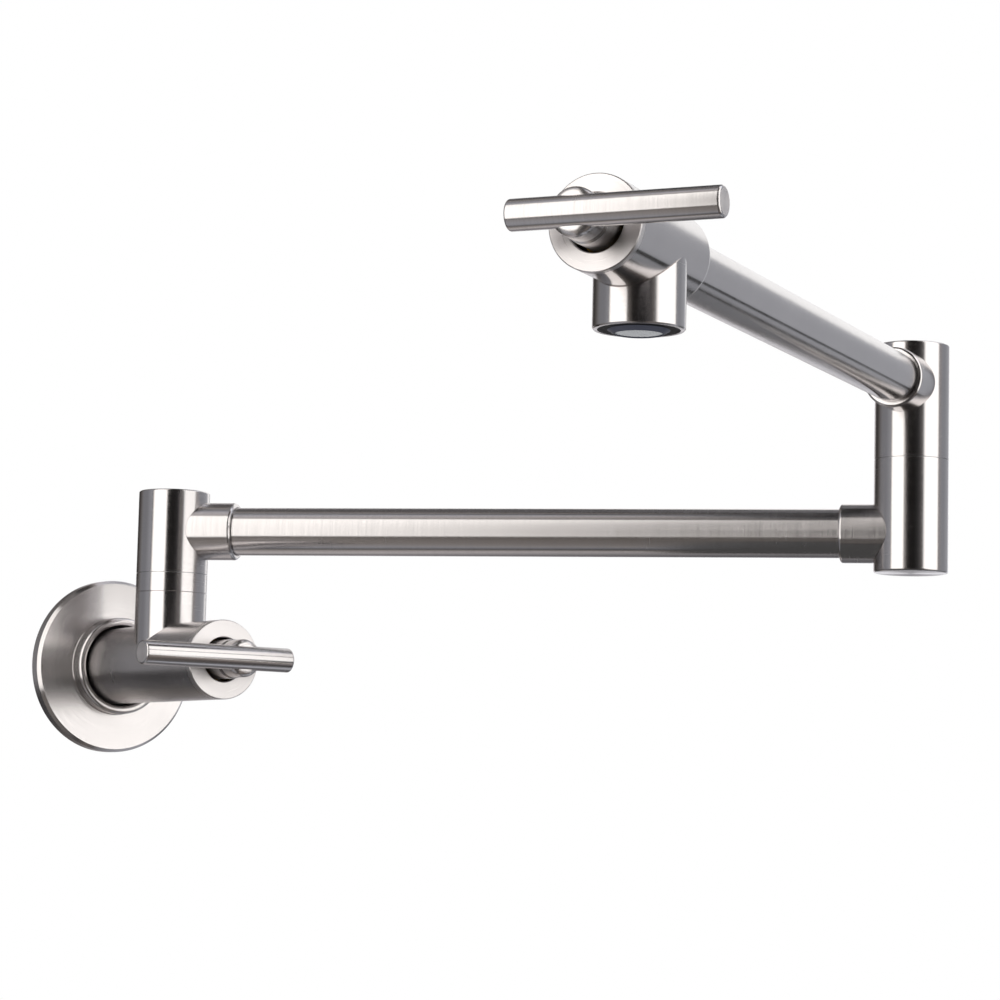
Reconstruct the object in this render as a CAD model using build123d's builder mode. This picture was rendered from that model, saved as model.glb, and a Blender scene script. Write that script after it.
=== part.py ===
"""Wall mounted pot filler with two swinging arms and a valve at each end.

Frame: origin on the wall plane at the centre of the flange, +Y into the wall,
+Z up, +X along the wall. Millimetres. The arms stand swung out from the wall.
"""

from build123d import *
from math import cos, radians, sin
import os

# ---------------------------------------------------------------- driving dimensions
# wall flange
flange_d = 69.6
flange_thickness = 5.4
flange_bevel = 1.2
boss_d = 39.0
boss_height = 6.6
boss_flat = 0.2
boss_root = 0.3
body_seal_section = 1.0
gasket_outer_d = 60.0
gasket_inner_d = 48.0
gasket_thickness = 1.2
# valve body
body_d = 30.6
body_reach = 92.6
body_wall_gap = 1.0
waterway_d = 13.0
# inlet nipple, G1/2 thread at its major diameter
inlet_thread_d = 20.955
inlet_bore_d = 15.0
inlet_behind_wall = 22.0
inlet_in_body = 12.0
inlet_lead = 1.0
inlet_relief_d = 18.6
inlet_relief_width = 2.0
# posts
post_d = 28.0
post_from_wall = 49.6
post_bore_d = 21.0
post_edge = 0.8
post_over_arm = 15.7
post_under_arm = 15.0
riser_top = 27.5
riser_edge = 0.2
cap_thickness = 1.8
cap_skirt_depth = 3.5
cap_skirt_d = 24.0
cap_skirt_wall = 1.2
# arms
lower_arm_height = 52.1
upper_arm_height = 107.9
lower_arm_reach = 290.7
upper_arm_reach = 286.7
lower_arm_yaw = -47.4
upper_arm_yaw = 210.9
lower_seam_height = 34.9
elbow_seam_height = 79.7
tube_d = 18.8
tube_wall = 1.2
tube_start = 16.0
tube_in_head = 6.0
# sockets at the posts
socket_d = 22.6
socket_reach = 26.5
socket_edge = 1.2
socket_mouth_d = 19.4
socket_mouth_depth = 0.8
saddle_edge = 0.3
post_port_d = 13.0
# swivels
spindle_d = 16.0
spindle_thread_d = 19.0
spindle_bore_d = 10.0
spindle_thread_length = 11.7
spindle_port_d = 5.6
spindle_port_count = 4
washer_thickness = 0.3
washer_inset = 0.3
bush_length = 4.5
bush_above_arm = 6.6
bush_lift = 0.4
clip_thickness = 1.0
clip_groove_depth = 0.8
clip_width = 2.6
clip_gap = 5.0
clip_play = 0.3
spindle_above_clip = 0.7
o_ring_section = 1.8
running_gap = 0.05
seal_gap = 0.02
# spout head and outlet
head_d = 28.5
head_length = 58.0
head_front_over_outlet = 35.6
head_shoulder = 2.4
outlet_d = 27.4
outlet_drop = 24.9
outlet_bore_d = 16.0
outlet_edge = 0.4
aerator_d = 24.4
aerator_opening_d = 18.4
aerator_height = 8.0
aerator_insert_thickness = 3.0
aerator_nose_d = 14.4
aerator_nose_drop = 1.2
aerator_hole_d = 1.5
aerator_hole_pitch = 2.3
aerator_hole_rows = 7
aerator_hole_edge = 0.6
aerator_washer_thickness = 1.6
aerator_washer_opening_d = 17.0
# cover ring on the front of each valve
cover_thickness = 2.5
cover_hole_d = 17.2
cover_edge = 0.3
cover_skirt_depth = 6.0
cover_skirt_wall = 1.4
# ceramic cartridge, places are depths behind the cover's front face
front_bore_d = 24.4
cartridge_hex_top = 17.0
cartridge_hex_bottom = 22.0
cartridge_hex_d = 23.0
cartridge_thread_bottom = 30.0
cartridge_d = 18.0
cartridge_wall = 1.4
cartridge_bottom = 48.0
cartridge_window_width = 8.0
cartridge_window_top = 32.0
cartridge_window_bottom = 42.0
chamber_clearance = 1.2
seat_seal_thickness = 2.0
seat_seal_hole_d = 12.0
disc_thickness = 2.5
disc_hole_d = 5.0
disc_hole_radius = 4.2
disc_gap = 0.05
stem_d = 8.0
stem_tip = 4.6
stem_seal_section = 1.2
stem_seal_depths = (20.0, 26.0)
# handle, places are distances in front of the cover's front face
neck_d = 15.0
neck_back = 13.0
hub_groove_d = 12.8
hub_groove_width = 1.8
hub_groove_distance = 8.0
hub_d = 14.4
hub_front = 17.4
hub_round = 2.6
bar_d = 9.2
bar_length = 63.6
bar_offset = 12.4
bar_distance = 15.9
bar_edge = 0.8
bar_screw_d = 4.0
bar_screw_head_d = 7.0
bar_screw_head_height = 2.6
bar_screw_grip = 4.0
bar_screw_socket_d = 2.5
bar_screw_socket_depth = 1.5
screw_play = 0.1
grub_screw_d = 3.0
grub_screw_distance = 2.5
grub_screw_inset = 0.3
grub_screw_socket_d = 1.5
grub_screw_socket_depth = 1.5

# ---------------------------------------------------------------- worked-out places
post_r = post_d / 2
tube_r = tube_d / 2
head_face_reach = upper_arm_reach + head_front_over_outlet
outlet_height = upper_arm_height - outlet_drop
body_seal_bore_d = body_d + 2 * body_seal_section
boss_round = ((boss_d - body_seal_bore_d) / 2 - boss_flat) / 2
flange_depth = flange_thickness + boss_height
chamber_d = cartridge_d + 2 * chamber_clearance
seat_depth = cartridge_bottom + seat_seal_thickness


def level_plane(x, y, z, yaw):
    """Plane whose Z runs level at this yaw and whose Y points up."""
    across = (-sin(radians(yaw)), cos(radians(yaw)), 0)
    along = (cos(radians(yaw)), sin(radians(yaw)), 0)
    return Plane(origin=(x, y, z), x_dir=across, z_dir=along)


def along_arm(start, yaw, distance):
    """Point at a distance from start in the direction of a yaw."""
    x = start[0] + distance * cos(radians(yaw))
    y = start[1] + distance * sin(radians(yaw))
    return (x, y)


wall_yaw = -90
post_xy = (0, -post_from_wall)
elbow_xy = along_arm(post_xy, lower_arm_yaw, lower_arm_reach)
outlet_xy = along_arm(elbow_xy, upper_arm_yaw, upper_arm_reach)
head_xy = along_arm(elbow_xy, upper_arm_yaw, head_face_reach)

wall_plane = level_plane(0, 0, 0, wall_yaw)
wall_face = level_plane(0, -body_reach, 0, wall_yaw)
lower_arm_plane = level_plane(*post_xy, lower_arm_height, lower_arm_yaw)
lower_arm_end_plane = level_plane(*elbow_xy, lower_arm_height, lower_arm_yaw + 180)
upper_arm_plane = level_plane(*elbow_xy, upper_arm_height, upper_arm_yaw)
spout_face = level_plane(*head_xy, upper_arm_height, upper_arm_yaw)
post_plane = Plane(origin=(*post_xy, 0))
elbow_plane = Plane(origin=(*elbow_xy, 0))
outlet_plane = Plane(origin=(*outlet_xy, 0))

os.makedirs("parts", exist_ok=True)


# ---------------------------------------------------------------- shared shapes
def ring(plane, start, end, outer_d, inner_d=0, mode=Mode.ADD):
    """Round disc or ring between two distances along a plane's normal."""
    with BuildSketch(plane.offset(start)) as section:
        Circle(outer_d / 2)
        if inner_d:
            Circle(inner_d / 2, mode=Mode.SUBTRACT)
    extrude(section.sketch, amount=end - start, mode=mode)


def bore(plane, start, end, diameter):
    """Round hole between two distances along a plane's normal."""
    ring(plane, start, end, diameter, mode=Mode.SUBTRACT)


def rim(part, plane, distance, diameter):
    """Edges of one circle, found by its distance along a plane and its diameter."""
    found = part.edges().filter_by(GeomType.CIRCLE)
    found = found.filter_by(lambda edge: abs(plane.to_local_coords(edge.arc_center).Z - distance) < 0.01)
    return found.filter_by(lambda edge: abs(edge.radius - diameter / 2) < 0.01)


def saddle(part, plane):
    """Edges where a round branch meets the round piece it grows from."""
    found = part.edges().filter_by(GeomType.CIRCLE, reverse=True)
    found = found.filter_by(GeomType.LINE, reverse=True)
    return found.filter_by(lambda edge: plane.to_local_coords(edge.center()).Z > 0)


def o_ring(plane, distance, outer_d, section):
    """Round seal lying across a plane's normal."""
    centre = plane.offset(distance)
    with BuildSketch(Plane(origin=centre.origin, x_dir=centre.x_dir, z_dir=-centre.y_dir)) as cut:
        with Locations(((outer_d - section) / 2, 0)):
            Circle(section / 2)
    revolve(cut.sketch, axis=Axis(centre.origin, centre.z_dir))


def seal_groove(plane, distance, outer_d, section):
    """Square groove in a shaft for a round seal of this outer diameter."""
    half = section / 2
    ring(plane, distance - half, distance + half, 2 * outer_d, outer_d - 2 * section, Mode.SUBTRACT)


def keep(builder, name):
    """Label a finished piece and write it."""
    builder.part.label = name
    export_step(builder.part, f"parts/{name}.step")


# ---------------------------------------------------------------- wall flange and inlet
with BuildPart() as wall_flange:
    ring(wall_plane, 0, flange_thickness, flange_d)
    chamfer(rim(wall_flange, wall_plane, flange_thickness, flange_d), flange_bevel)
    ring(wall_plane, flange_thickness, flange_depth, boss_d)
    fillet(rim(wall_flange, wall_plane, flange_thickness, boss_d), boss_root)
    bore(wall_plane, 0, flange_depth, body_seal_bore_d)
    for edge_d in (boss_d, body_seal_bore_d):
        fillet(rim(wall_flange, wall_plane, flange_depth, edge_d), boss_round)
    ring(wall_plane, 0, gasket_thickness, gasket_outer_d, gasket_inner_d, Mode.SUBTRACT)
keep(wall_flange, "wall_flange")

with BuildPart() as wall_gasket:
    ring(wall_plane, 0, gasket_thickness, gasket_outer_d, gasket_inner_d)
keep(wall_gasket, "wall_gasket")

with BuildPart() as body_seal:
    o_ring(wall_plane, flange_thickness, body_seal_bore_d, body_seal_section)
keep(body_seal, "body_seal")

with BuildPart() as inlet_nipple:
    ring(wall_plane, -inlet_behind_wall, inlet_in_body, inlet_thread_d)
    chamfer(rim(inlet_nipple, wall_plane, -inlet_behind_wall, inlet_thread_d), inlet_lead)
    relief_end = body_wall_gap + inlet_relief_width
    ring(wall_plane, body_wall_gap, relief_end, 2 * inlet_thread_d, inlet_relief_d, Mode.SUBTRACT)
    bore(wall_plane, -inlet_behind_wall, inlet_in_body, inlet_bore_d)
keep(inlet_nipple, "inlet_nipple")


# ---------------------------------------------------------------- valve body
def valve_bores(face, back_depth):
    """Stepped bore for a cartridge, open at the face, with a waterway behind it."""
    bore(face, -cartridge_hex_bottom, -cover_thickness, front_bore_d)
    bore(face, -cartridge_thread_bottom, -cartridge_hex_bottom, inlet_thread_d)
    bore(face, -seat_depth, -cartridge_thread_bottom, chamber_d)
    bore(face, -back_depth, -seat_depth, waterway_d)


lower_thread_bottom = lower_seam_height - spindle_thread_length

with BuildPart() as inlet_collar:
    ring(wall_plane, body_wall_gap, inlet_in_body, body_d, inlet_thread_d)
keep(inlet_collar, "inlet_collar")

with BuildPart() as valve_body:
    ring(wall_plane, inlet_in_body, body_reach - cover_thickness, body_d)
    ring(post_plane, 0, riser_top, post_d)
    chamfer(rim(valve_body, post_plane, riser_top, post_d), riser_edge)
    valve_bores(wall_face, body_reach - inlet_in_body)
    bore(post_plane, 0, lower_thread_bottom, waterway_d)
    bore(post_plane, lower_thread_bottom, riser_top, spindle_thread_d)
keep(valve_body, "valve_body")

with BuildPart() as riser_lock_ring:
    ring(post_plane, riser_top, lower_seam_height, post_d, spindle_thread_d)
    chamfer(rim(riser_lock_ring, post_plane, riser_top, post_d), riser_edge)
keep(riser_lock_ring, "riser_lock_ring")


# ---------------------------------------------------------------- swivels
bush_bore_d = spindle_d + 2 * running_gap
spindle_seal_d = bush_bore_d - 2 * seal_gap
clip_groove_d = spindle_d - 2 * clip_groove_depth
swivels = (
    ("lower", post_plane, lower_seam_height, lower_arm_height, lower_arm_plane),
    ("elbow", elbow_plane, elbow_seam_height, upper_arm_height, upper_arm_plane),
)
for place, plane, seam, arm_height, arm_plane in swivels:
    sleeve_bottom = seam + washer_thickness
    sleeve_top = arm_height + post_over_arm - cap_thickness
    lower_bush = sleeve_bottom + bush_lift
    upper_bush = arm_height + bush_above_arm
    clip_bottom = upper_bush + bush_length + clip_play
    spindle_top = clip_bottom + clip_thickness + spindle_above_clip
    bush_middles = (lower_bush + bush_length / 2, upper_bush + bush_length / 2)

    with BuildPart() as spindle:
        ring(plane, seam - spindle_thread_length, seam, spindle_thread_d)
        ring(plane, seam, spindle_top, spindle_d)
        bore(plane, seam - spindle_thread_length, upper_bush, spindle_bore_d)
        for turn in range(spindle_port_count // 2):
            side = level_plane(plane.origin.X, plane.origin.Y, arm_height, turn * 90)
            bore(side, -spindle_d, spindle_d, spindle_port_d)
        for middle in bush_middles:
            seal_groove(plane, middle, spindle_seal_d, o_ring_section)
        clip_top = clip_bottom + clip_thickness
        ring(plane, clip_bottom, clip_top, 2 * spindle_d, clip_groove_d, Mode.SUBTRACT)
    keep(spindle, f"{place}_spindle")

    with BuildPart() as spindle_o_rings:
        for middle in bush_middles:
            o_ring(plane, middle, spindle_seal_d, o_ring_section)
    keep(spindle_o_rings, f"{place}_spindle_o_rings")

    with BuildPart() as thrust_washer:
        ring(plane, seam, sleeve_bottom, post_d - 2 * washer_inset, bush_bore_d)
    keep(thrust_washer, f"{place}_thrust_washer")

    with BuildPart() as retaining_clip:
        ring(plane, clip_bottom, clip_top, clip_groove_d + 2 * clip_width, clip_groove_d)
        with BuildSketch(plane.offset(clip_bottom)):
            with Locations((clip_groove_d / 2 + clip_width / 2, 0)):
                Rectangle(2 * clip_width, clip_gap)
        extrude(amount=clip_thickness, mode=Mode.SUBTRACT)
    keep(retaining_clip, f"{place}_retaining_clip")

    with BuildPart() as bushes:
        for bottom in (lower_bush, upper_bush):
            ring(plane, bottom, bottom + bush_length, post_bore_d, bush_bore_d)
    keep(bushes, f"{place}_bushes")

    with BuildPart() as sleeve:
        ring(plane, sleeve_bottom, sleeve_top, post_d, post_bore_d)
        bore(plane, sleeve_top - cap_skirt_depth, sleeve_top, cap_skirt_d)
        bore(arm_plane, 0, post_d, post_port_d)
    keep(sleeve, f"{place}_sleeve")

    with BuildPart() as top_cap:
        ring(plane, sleeve_top, sleeve_top + cap_thickness, post_d)
        fillet(rim(top_cap, plane, sleeve_top + cap_thickness, post_d), post_edge)
        ring(plane, sleeve_top - cap_skirt_depth, sleeve_top, cap_skirt_d, cap_skirt_d - 2 * cap_skirt_wall)
    keep(top_cap, f"{place}_top_cap")


# ---------------------------------------------------------------- arms
sockets = (
    ("lower_arm_inner_socket", lower_arm_plane, post_plane),
    ("lower_arm_outer_socket", lower_arm_end_plane, elbow_plane),
    ("upper_arm_socket", upper_arm_plane, elbow_plane),
)
for name, plane, upright in sockets:
    with BuildPart() as socket:
        ring(plane, 0, socket_reach, socket_d)
        fillet(rim(socket, plane, socket_reach, socket_d), socket_edge)
        bore(upright, 0, 2 * upper_arm_height, post_d)
        chamfer(saddle(socket, plane), saddle_edge)
        bore(plane, socket_reach - socket_mouth_depth, socket_reach, socket_mouth_d)
        bore(plane, tube_start, socket_reach, tube_d)
        bore(plane, 0, tube_start, tube_d - 2 * tube_wall)
    keep(socket, name)

with BuildPart() as lower_arm_tube:
    ring(lower_arm_plane, tube_start, lower_arm_reach - tube_start, tube_d, tube_d - 2 * tube_wall)
keep(lower_arm_tube, "lower_arm_tube")

elbow_bottom = lower_arm_height - post_under_arm
elbow_cap_top = elbow_bottom + cap_thickness
elbow_thread_bottom = elbow_seam_height - spindle_thread_length
with BuildPart() as elbow_lower_post:
    ring(elbow_plane, elbow_cap_top, elbow_seam_height, post_d, spindle_thread_d)
    bore(elbow_plane, elbow_cap_top, elbow_thread_bottom, post_bore_d)
    bore(elbow_plane, elbow_cap_top, elbow_cap_top + cap_skirt_depth, cap_skirt_d)
    bore(lower_arm_end_plane, 0, post_d, post_port_d)
keep(elbow_lower_post, "elbow_lower_post")

with BuildPart() as elbow_bottom_cap:
    ring(elbow_plane, elbow_bottom, elbow_cap_top, post_d)
    fillet(rim(elbow_bottom_cap, elbow_plane, elbow_bottom, post_d), post_edge)
    skirt_top = elbow_cap_top + cap_skirt_depth
    ring(elbow_plane, elbow_cap_top, skirt_top, cap_skirt_d, cap_skirt_d - 2 * cap_skirt_wall)
keep(elbow_bottom_cap, "elbow_bottom_cap")

head_back_reach = head_face_reach - head_length
with BuildPart() as upper_arm_tube:
    ring(upper_arm_plane, tube_start, head_back_reach + tube_in_head, tube_d, tube_d - 2 * tube_wall)
keep(upper_arm_tube, "upper_arm_tube")

# ---------------------------------------------------------------- spout head and outlet
with BuildPart() as spout_head:
    ring(spout_face, -head_length, -cover_thickness, head_d)
    fillet(rim(spout_head, spout_face, -head_length, head_d), head_shoulder)
    valve_bores(spout_face, head_length)
    bore(spout_face, -head_length, tube_in_head - head_length, tube_d)
    bore(outlet_plane, outlet_height, upper_arm_height, outlet_bore_d)
keep(spout_head, "spout_head")

aerator_top = outlet_height + aerator_height
washer_top = aerator_top + aerator_washer_thickness
with BuildPart() as spout_outlet:
    ring(outlet_plane, outlet_height, upper_arm_height, outlet_d)
    bore(spout_face, -head_length, 0, head_d)
    chamfer(saddle(spout_outlet, outlet_plane.offset(outlet_height)), saddle_edge)
    bore(outlet_plane, outlet_height, upper_arm_height, outlet_bore_d)
    bore(outlet_plane, outlet_height, washer_top, aerator_d)
    chamfer(rim(spout_outlet, outlet_plane, outlet_height, outlet_d), outlet_edge)
keep(spout_outlet, "spout_outlet")

with BuildPart() as aerator_washer:
    ring(outlet_plane, aerator_top, washer_top, aerator_d, aerator_washer_opening_d)
keep(aerator_washer, "aerator_washer")

with BuildPart() as aerator_housing:
    ring(outlet_plane, outlet_height, aerator_top, aerator_d, aerator_opening_d)
keep(aerator_housing, "aerator_housing")

nose_plane = outlet_plane.offset(outlet_height - aerator_nose_drop)
insert_top = outlet_height + aerator_insert_thickness
with BuildPart() as aerator_insert:
    with BuildSketch(nose_plane):
        Circle(aerator_nose_d / 2)
    with BuildSketch(outlet_plane.offset(outlet_height)):
        Circle(aerator_opening_d / 2)
    loft()
    ring(outlet_plane, outlet_height, insert_top, aerator_opening_d)
    with BuildSketch(nose_plane):
        with HexLocations(aerator_hole_pitch / 2, aerator_hole_rows, aerator_hole_rows):
            Circle(aerator_hole_d / 2)
        Circle(aerator_nose_d / 2 - aerator_hole_edge, mode=Mode.INTERSECT)
    extrude(amount=aerator_nose_drop + aerator_insert_thickness, mode=Mode.SUBTRACT)
keep(aerator_insert, "aerator_insert")

# ---------------------------------------------------------------- valves and handles
cartridge_bore_d = cartridge_d - 2 * cartridge_wall
disc_top = cartridge_bottom - disc_thickness
moving_disc_bottom = disc_top - disc_gap
moving_disc_top = moving_disc_bottom - disc_thickness
driver_top = moving_disc_top - disc_thickness
moving_disc_d = cartridge_bore_d - 2 * running_gap
stem_bore_d = stem_d + 2 * running_gap
stem_seal_d = stem_bore_d - 2 * seal_gap
screw_head_back = stem_tip + clip_play
screw_head_front = screw_head_back + bar_screw_head_height
screw_tip = bar_distance - bar_d / 2 + bar_screw_grip
hub_screw_hole_d = bar_screw_d + 2 * screw_play

valves = (
    ("wall", wall_face, body_d, -1),
    ("spout", spout_face, head_d, 1),
)
for place, face, cover_d, long_side in valves:
    with BuildPart() as cover_ring:
        ring(face, -cover_thickness, 0, cover_d)
        chamfer(rim(cover_ring, face, 0, cover_d), cover_edge)
        skirt_back = cover_thickness + cover_skirt_depth
        ring(face, -skirt_back, -cover_thickness, front_bore_d, front_bore_d - 2 * cover_skirt_wall)
        bore(face, -cover_thickness, 0, cover_hole_d)
        chamfer(rim(cover_ring, face, 0, cover_hole_d), cover_edge)
    keep(cover_ring, f"{place}_cover_ring")

    with BuildPart() as cartridge_body:
        ring(face, -cartridge_bottom, -cartridge_thread_bottom, cartridge_d)
        ring(face, -cartridge_thread_bottom, -cartridge_hex_bottom, inlet_thread_d)
        with BuildSketch(face.offset(-cartridge_hex_bottom)):
            RegularPolygon(cartridge_hex_d / 2, 6)
        extrude(amount=cartridge_hex_bottom - cartridge_hex_top)
        bore(face, -cartridge_bottom, -cartridge_thread_bottom, cartridge_bore_d)
        bore(face, -cartridge_thread_bottom, -cartridge_hex_top, stem_bore_d)
        with BuildSketch(Plane(origin=face.origin, x_dir=face.x_dir, z_dir=-face.y_dir)):
            with Locations((0, -(cartridge_window_top + cartridge_window_bottom) / 2)):
                Rectangle(cartridge_window_width, cartridge_window_bottom - cartridge_window_top)
        extrude(amount=cartridge_d, both=True, mode=Mode.SUBTRACT)
    keep(cartridge_body, f"{place}_cartridge_body")

    with BuildPart() as seat_seal:
        ring(face, -seat_depth, -cartridge_bottom, cartridge_d, seat_seal_hole_d)
    keep(seat_seal, f"{place}_seat_seal")

    discs = (
        ("fixed_disc", cartridge_bottom, cartridge_bore_d, 0),
        ("moving_disc", moving_disc_bottom, moving_disc_d, 90),
    )
    for disc_name, disc_back, disc_d, turn in discs:
        with BuildPart() as disc:
            ring(face, -disc_back, disc_thickness - disc_back, disc_d)
            with BuildSketch(face.offset(-disc_back)):
                with PolarLocations(disc_hole_radius, 2, start_angle=turn):
                    Circle(disc_hole_d / 2)
            extrude(amount=disc_thickness, mode=Mode.SUBTRACT)
        keep(disc, f"{place}_{disc_name}")

    with BuildPart() as stem:
        ring(face, -moving_disc_top, -driver_top, moving_disc_d)
        with BuildSketch(face.offset(-moving_disc_top)):
            with PolarLocations(disc_hole_radius, 2, start_angle=90):
                Circle(disc_hole_d / 2)
        extrude(amount=disc_thickness, mode=Mode.SUBTRACT)
        ring(face, -driver_top, stem_tip, stem_d)
        for depth in stem_seal_depths:
            seal_groove(face, -depth, stem_seal_d, stem_seal_section)
    keep(stem, f"{place}_stem")

    with BuildPart() as stem_seals:
        for depth in stem_seal_depths:
            o_ring(face, -depth, stem_seal_d, stem_seal_section)
    keep(stem_seals, f"{place}_stem_seals")

    bar_middle = face.offset(bar_distance)
    bar_plane = Plane(origin=bar_middle.origin, x_dir=face.y_dir, z_dir=face.x_dir)
    bar_plane = bar_plane.offset(long_side * bar_offset)
    with BuildPart() as handle_hub:
        with BuildSketch(Plane(origin=face.origin, x_dir=face.y_dir, z_dir=face.x_dir)):
            with BuildLine():
                Polyline(
                    (0, -neck_back),
                    (neck_d / 2, -neck_back),
                    (neck_d / 2, hub_groove_distance - hub_groove_width / 2),
                    (hub_groove_d / 2, hub_groove_distance),
                    (hub_d / 2, hub_groove_distance + hub_groove_width / 2),
                    (hub_d / 2, hub_front - hub_round),
                )
                JernArc((hub_d / 2, hub_front - hub_round), (0, 1), hub_round, 90)
                Polyline((hub_d / 2 - hub_round, hub_front), (0, hub_front), (0, -neck_back))
            make_face()
        revolve(axis=Axis(face.origin, face.z_dir))
        bore(face, -neck_back, screw_head_front, stem_d)
        bore(face, screw_head_front, hub_front, hub_screw_hole_d)
        ring(bar_plane, -bar_length / 2, bar_length / 2, bar_d, mode=Mode.SUBTRACT)
        grub_plane = Plane(origin=face.offset(grub_screw_distance).origin, z_dir=face.y_dir)
        bore(grub_plane, 0, neck_d, grub_screw_d)
    keep(handle_hub, f"{place}_handle_hub")

    with BuildPart() as handle_bar:
        ring(bar_plane, -bar_length / 2, bar_length / 2, bar_d)
        for end in (-1, 1):
            chamfer(rim(handle_bar, bar_plane, end * bar_length / 2, bar_d), bar_edge)
        bore(face, bar_distance - bar_d, screw_tip, bar_screw_d)
    keep(handle_bar, f"{place}_handle_bar")

    with BuildPart() as bar_screw:
        ring(face, screw_head_back, screw_head_front, bar_screw_head_d)
        ring(face, screw_head_front, screw_tip, bar_screw_d)
        with BuildSketch(face.offset(screw_head_back)):
            RegularPolygon(bar_screw_socket_d / 2, 6)
        extrude(amount=bar_screw_socket_depth, mode=Mode.SUBTRACT)
    keep(bar_screw, f"{place}_bar_screw")

    with BuildPart() as grub_screw:
        grub_top = neck_d / 2 - grub_screw_inset
        ring(grub_plane, stem_d / 2, grub_top, grub_screw_d)
        with BuildSketch(grub_plane.offset(grub_top)):
            RegularPolygon(grub_screw_socket_d / 2, 6)
        extrude(amount=-grub_screw_socket_depth, mode=Mode.SUBTRACT)
    keep(grub_screw, f"{place}_grub_screw")
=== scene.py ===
"""Looks of the wall mounted pot filler: finishes, finer pieces, light and camera.

Metres, in the frame of the solids: the origin is on the wall plane at the centre
of the flange, +Y goes into the wall, +Z is up.
"""

import bmesh
import bpy
from math import cos, pi, radians, sin, tau
from mathutils import Matrix, Vector


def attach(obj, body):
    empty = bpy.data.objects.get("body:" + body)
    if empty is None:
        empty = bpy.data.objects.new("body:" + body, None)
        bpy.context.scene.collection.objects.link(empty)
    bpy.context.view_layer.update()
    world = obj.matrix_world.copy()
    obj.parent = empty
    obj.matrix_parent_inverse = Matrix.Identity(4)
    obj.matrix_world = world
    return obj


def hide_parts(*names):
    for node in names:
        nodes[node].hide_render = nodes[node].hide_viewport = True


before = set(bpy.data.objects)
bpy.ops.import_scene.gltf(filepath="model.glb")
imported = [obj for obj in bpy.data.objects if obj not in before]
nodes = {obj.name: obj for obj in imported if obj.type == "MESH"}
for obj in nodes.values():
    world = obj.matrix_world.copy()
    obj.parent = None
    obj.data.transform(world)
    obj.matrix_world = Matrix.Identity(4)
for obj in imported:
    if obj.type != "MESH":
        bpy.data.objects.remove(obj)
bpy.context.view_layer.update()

MM = 0.001  # a millimetre in metres

# ---------------------------------------------------------------- sizes shared with the solids, in mm
body_d = 30.6
body_reach = 92.6
post_from_wall = 49.6
lower_arm_height = 52.1
upper_arm_height = 107.9
lower_arm_reach = 290.7
upper_arm_reach = 286.7
lower_arm_yaw = -47.4
upper_arm_yaw = 210.9
head_front_over_outlet = 35.6
head_length = 58.0
tube_in_head = 6.0
outlet_drop = 24.9
tube_d = 18.8
tube_wall = 1.2
tube_start = 16.0
bar_d = 9.2
bar_length = 63.6
bar_offset = 12.4
bar_distance = 15.9
bar_edge = 0.8
inlet_thread_d = 20.955
inlet_bore_d = 15.0
inlet_behind_wall = 22.0
inlet_in_body = 12.0
inlet_lead = 1.0
inlet_relief_d = 18.6
body_wall_gap = 1.0
inlet_relief_width = 2.0
thread_pitch = 1.814
thread_depth = 1.1
aerator_opening_d = 18.4
aerator_insert_thickness = 3.0
aerator_nose_d = 14.4
aerator_nose_drop = 1.2
screen_pitch = 1.2
screen_rib = 0.6

# how finely the grown pieces are divided
tube_sides = 96
bar_sides = 72
bar_edge_rings = 5
thread_sides = 72
thread_rows = 204
screen_sides = 96
screen_rib_sides = 8
screen_rib_stations = 13
screen_ribs_each_side = 5


def level(yaw):
    """Unit vector that runs level at a yaw, counted from +X towards +Y."""
    return Vector((cos(radians(yaw)), sin(radians(yaw)), 0))


upright = Vector((0, 0, 1))
out_of_wall = Vector((0, -1, 0))
along_lower = level(lower_arm_yaw)
along_upper = level(upper_arm_yaw)
across_spout = level(upper_arm_yaw + 90)
lower_post = Vector((0, -post_from_wall, 0))
elbow = lower_post + lower_arm_reach * along_lower
outlet = elbow + upper_arm_reach * along_upper
wall_face = body_reach * out_of_wall
spout_face = outlet + head_front_over_outlet * along_upper + upper_arm_height * upright


# ---------------------------------------------------------------- node helper
def add(tree, kind, given=None):
    """New node. Given are its attributes, its inputs' values, and what is linked to its inputs, which is
    a socket, or a node for its first output."""
    node = tree.nodes.new(kind)
    for key, value in (given or {}).items():
        if isinstance(value, bpy.types.Node):
            value = value.outputs[0]
        if isinstance(value, bpy.types.NodeSocket):
            tree.links.new(value, node.inputs[key])
        elif isinstance(key, str) and hasattr(node, key):
            setattr(node, key, value)
        else:
            node.inputs[key].default_value = value
    return node


def linear(hex_colour):
    """Linear colour, with alpha 1, from an sRGB hex value."""
    parts = [int(hex_colour[i:i + 2], 16) / 255 for i in (1, 3, 5)]
    return [c / 12.92 if c <= 0.04045 else ((c + 0.055) / 1.055) ** 2.4 for c in parts] + [1]


def new_material(name):
    """Material with an empty node tree, and that tree."""
    made = bpy.data.materials.new(name)
    made.use_nodes = True
    made.node_tree.nodes.clear()
    return made, made.node_tree


# ---------------------------------------------------------------- brushed and turned metal
streak_swing = 0.04  # roughness that the streaks add and take away
patch_swing = 0.06  # roughness that handling adds, at most
patch_size = 25  # mm over which handling and polish vary
trunk_skin = 0.2  # mm within which a point counts as lying on the trunk of a branched piece


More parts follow.
